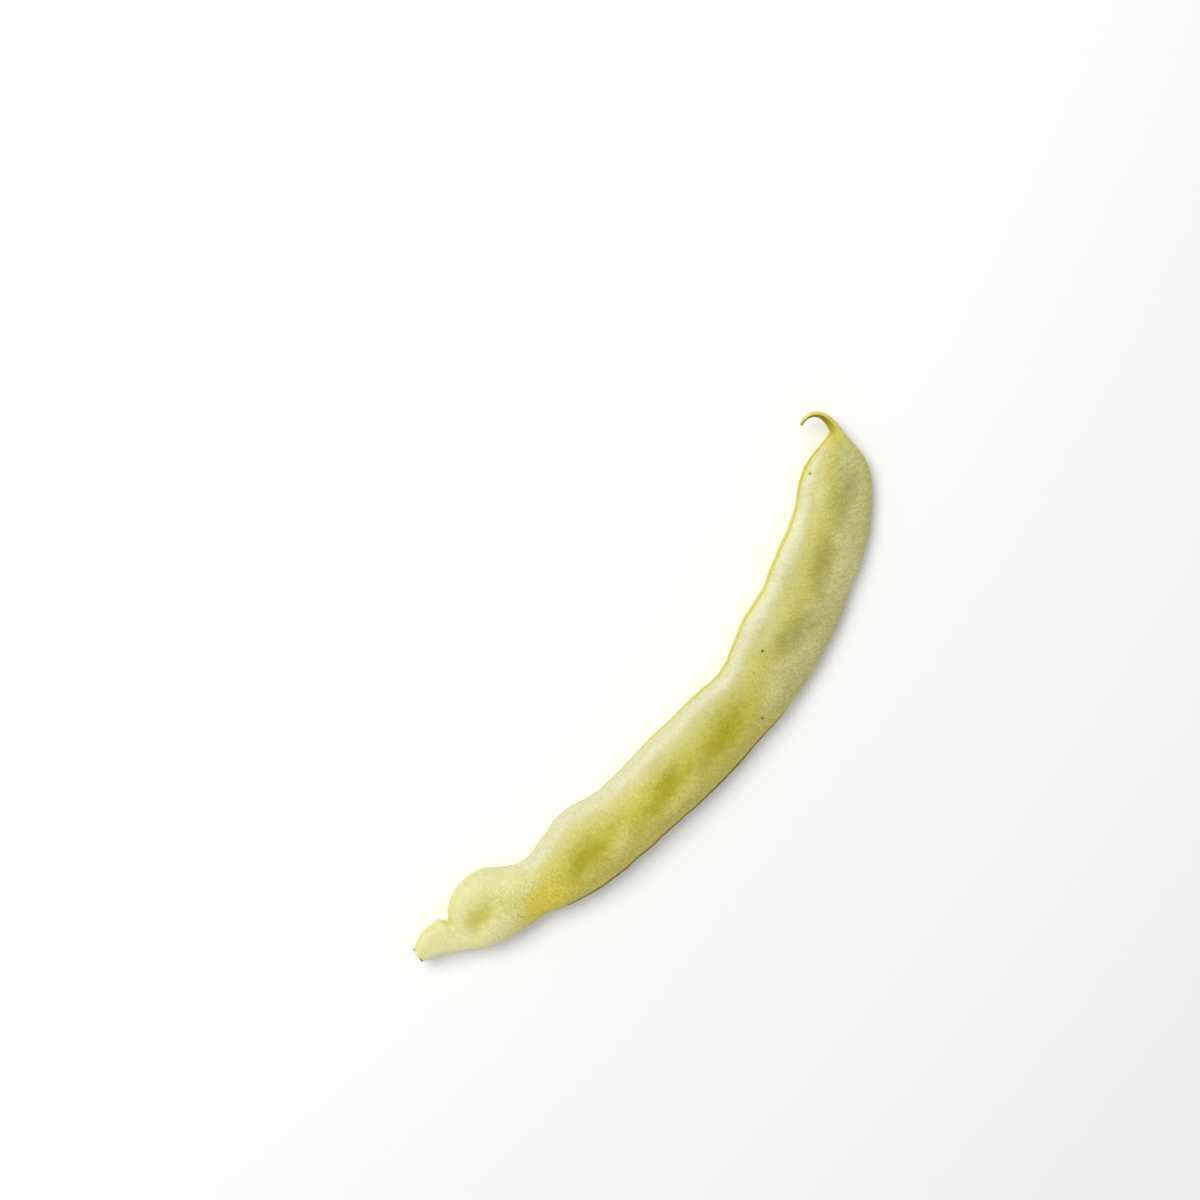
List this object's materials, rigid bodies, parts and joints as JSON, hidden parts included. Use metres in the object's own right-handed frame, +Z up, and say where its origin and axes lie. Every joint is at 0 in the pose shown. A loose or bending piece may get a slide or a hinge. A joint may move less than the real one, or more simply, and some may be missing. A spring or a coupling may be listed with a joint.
{
  "type": "yellow flat bean pod",
  "caption": "Flat, curved yellow bean pod with a pinched neck, shallow dents over its seed chambers and a hooked beak, picked and lying on one broad face.",
  "frame": {"origin": "middle of the pod's bounding box, on the surface it lies on", "axes": "+X along the chord from the stalk scar to the beak, +Y towards the hollow side of the curve, +Z up from the surface"},
  "size_m": [0.1566, 0.0422, 0.0082],
  "materials": {
    "pod_skin": "satin, velvety waxy pod skin: pale yellow with olive dents, cream shoulders and golden sutures"
  },
  "bodies": {
    "root": {"pod": "pod_skin"}
  },
  "joints": []
}
